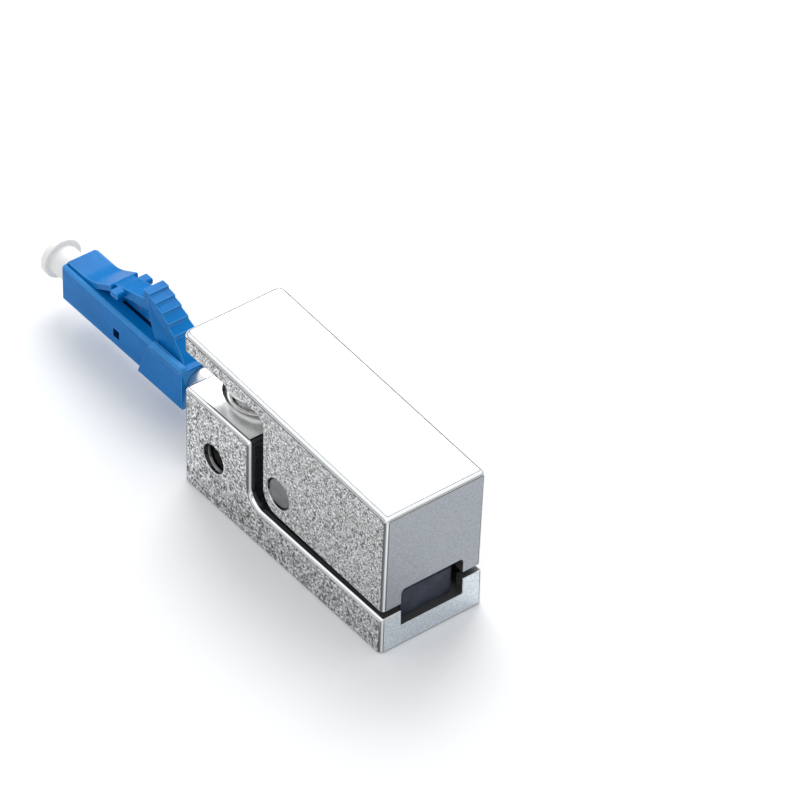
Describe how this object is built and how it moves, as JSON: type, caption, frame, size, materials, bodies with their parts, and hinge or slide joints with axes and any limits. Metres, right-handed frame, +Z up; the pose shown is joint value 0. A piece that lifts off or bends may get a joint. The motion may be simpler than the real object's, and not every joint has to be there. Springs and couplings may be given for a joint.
{
  "type": "bare fibre adapter",
  "caption": "Spring-clamp bare fibre adapter with an LC plug: a hinged metal lever grips a bare fibre and leads it into the plug's ferrule.",
  "frame": {"origin": "centre of the clamp base's flat underside", "axes": "+X from the plug towards the clamp's rear, along the fibre; +Z up; the tapped hole is on the -Y side"},
  "size_m": [0.0625, 0.0126, 0.0188],
  "materials": {
    "plated_casting": "bright nickel plate over a grained zinc casting",
    "ground_steel": "ground",
    "spring_wire": "bright drawn wire",
    "turned_nickel": "turned and nickel plated",
    "slate_rubber": "matt",
    "blue_plastic": "satin moulded",
    "white_cap": "soft translucent",
    "zirconia": "polished ceramic",
    "liner": "soft"
  },
  "bodies": {
    "clamp_base": {"base_body": "plated_casting", "pivot_pin": "ground_steel", "lower_pad": "slate_rubber", "groove_plate": "ground_steel", "guide_tube": "turned_nickel", "crimp_body": "turned_nickel", "plug_housing": "blue_plastic", "plug_clip": "blue_plastic", "lever_spring": "spring_wire", "ferrule_spring": "spring_wire"},
    "lever": {"clamp_lever": "plated_casting", "upper_pad": "slate_rubber"},
    "ferrule_unit": {"ferrule": "zirconia", "ferrule_flange": "turned_nickel", "ferrule_tube": "liner"},
    "cap": {"dust_cap": "white_cap"}
  },
  "joints": [
    {"name": "lever_hinge", "type": "hinge", "parent": "clamp_base", "child": "lever", "pos_m": [-0.00083, 0, 0.0086], "axis": [0, -1, 0], "range_deg": [0, 12], "stiffness_Nm_per_rad": 0.12, "springref_deg": -28.65, "deforming": ["lever_spring"]},
    {"name": "ferrule_float", "type": "slide", "parent": "clamp_base", "child": "ferrule_unit", "axis": [1, 0, 0], "range_m": [0, 0.001], "stiffness_N_per_m": 1000, "springref_m": -0.005, "deforming": ["ferrule_spring"]},
    {"name": "cap_pull", "type": "slide", "parent": "clamp_base", "child": "cap", "axis": [-1, 0, 0], "range_m": [0, 0.012]}
  ]
}
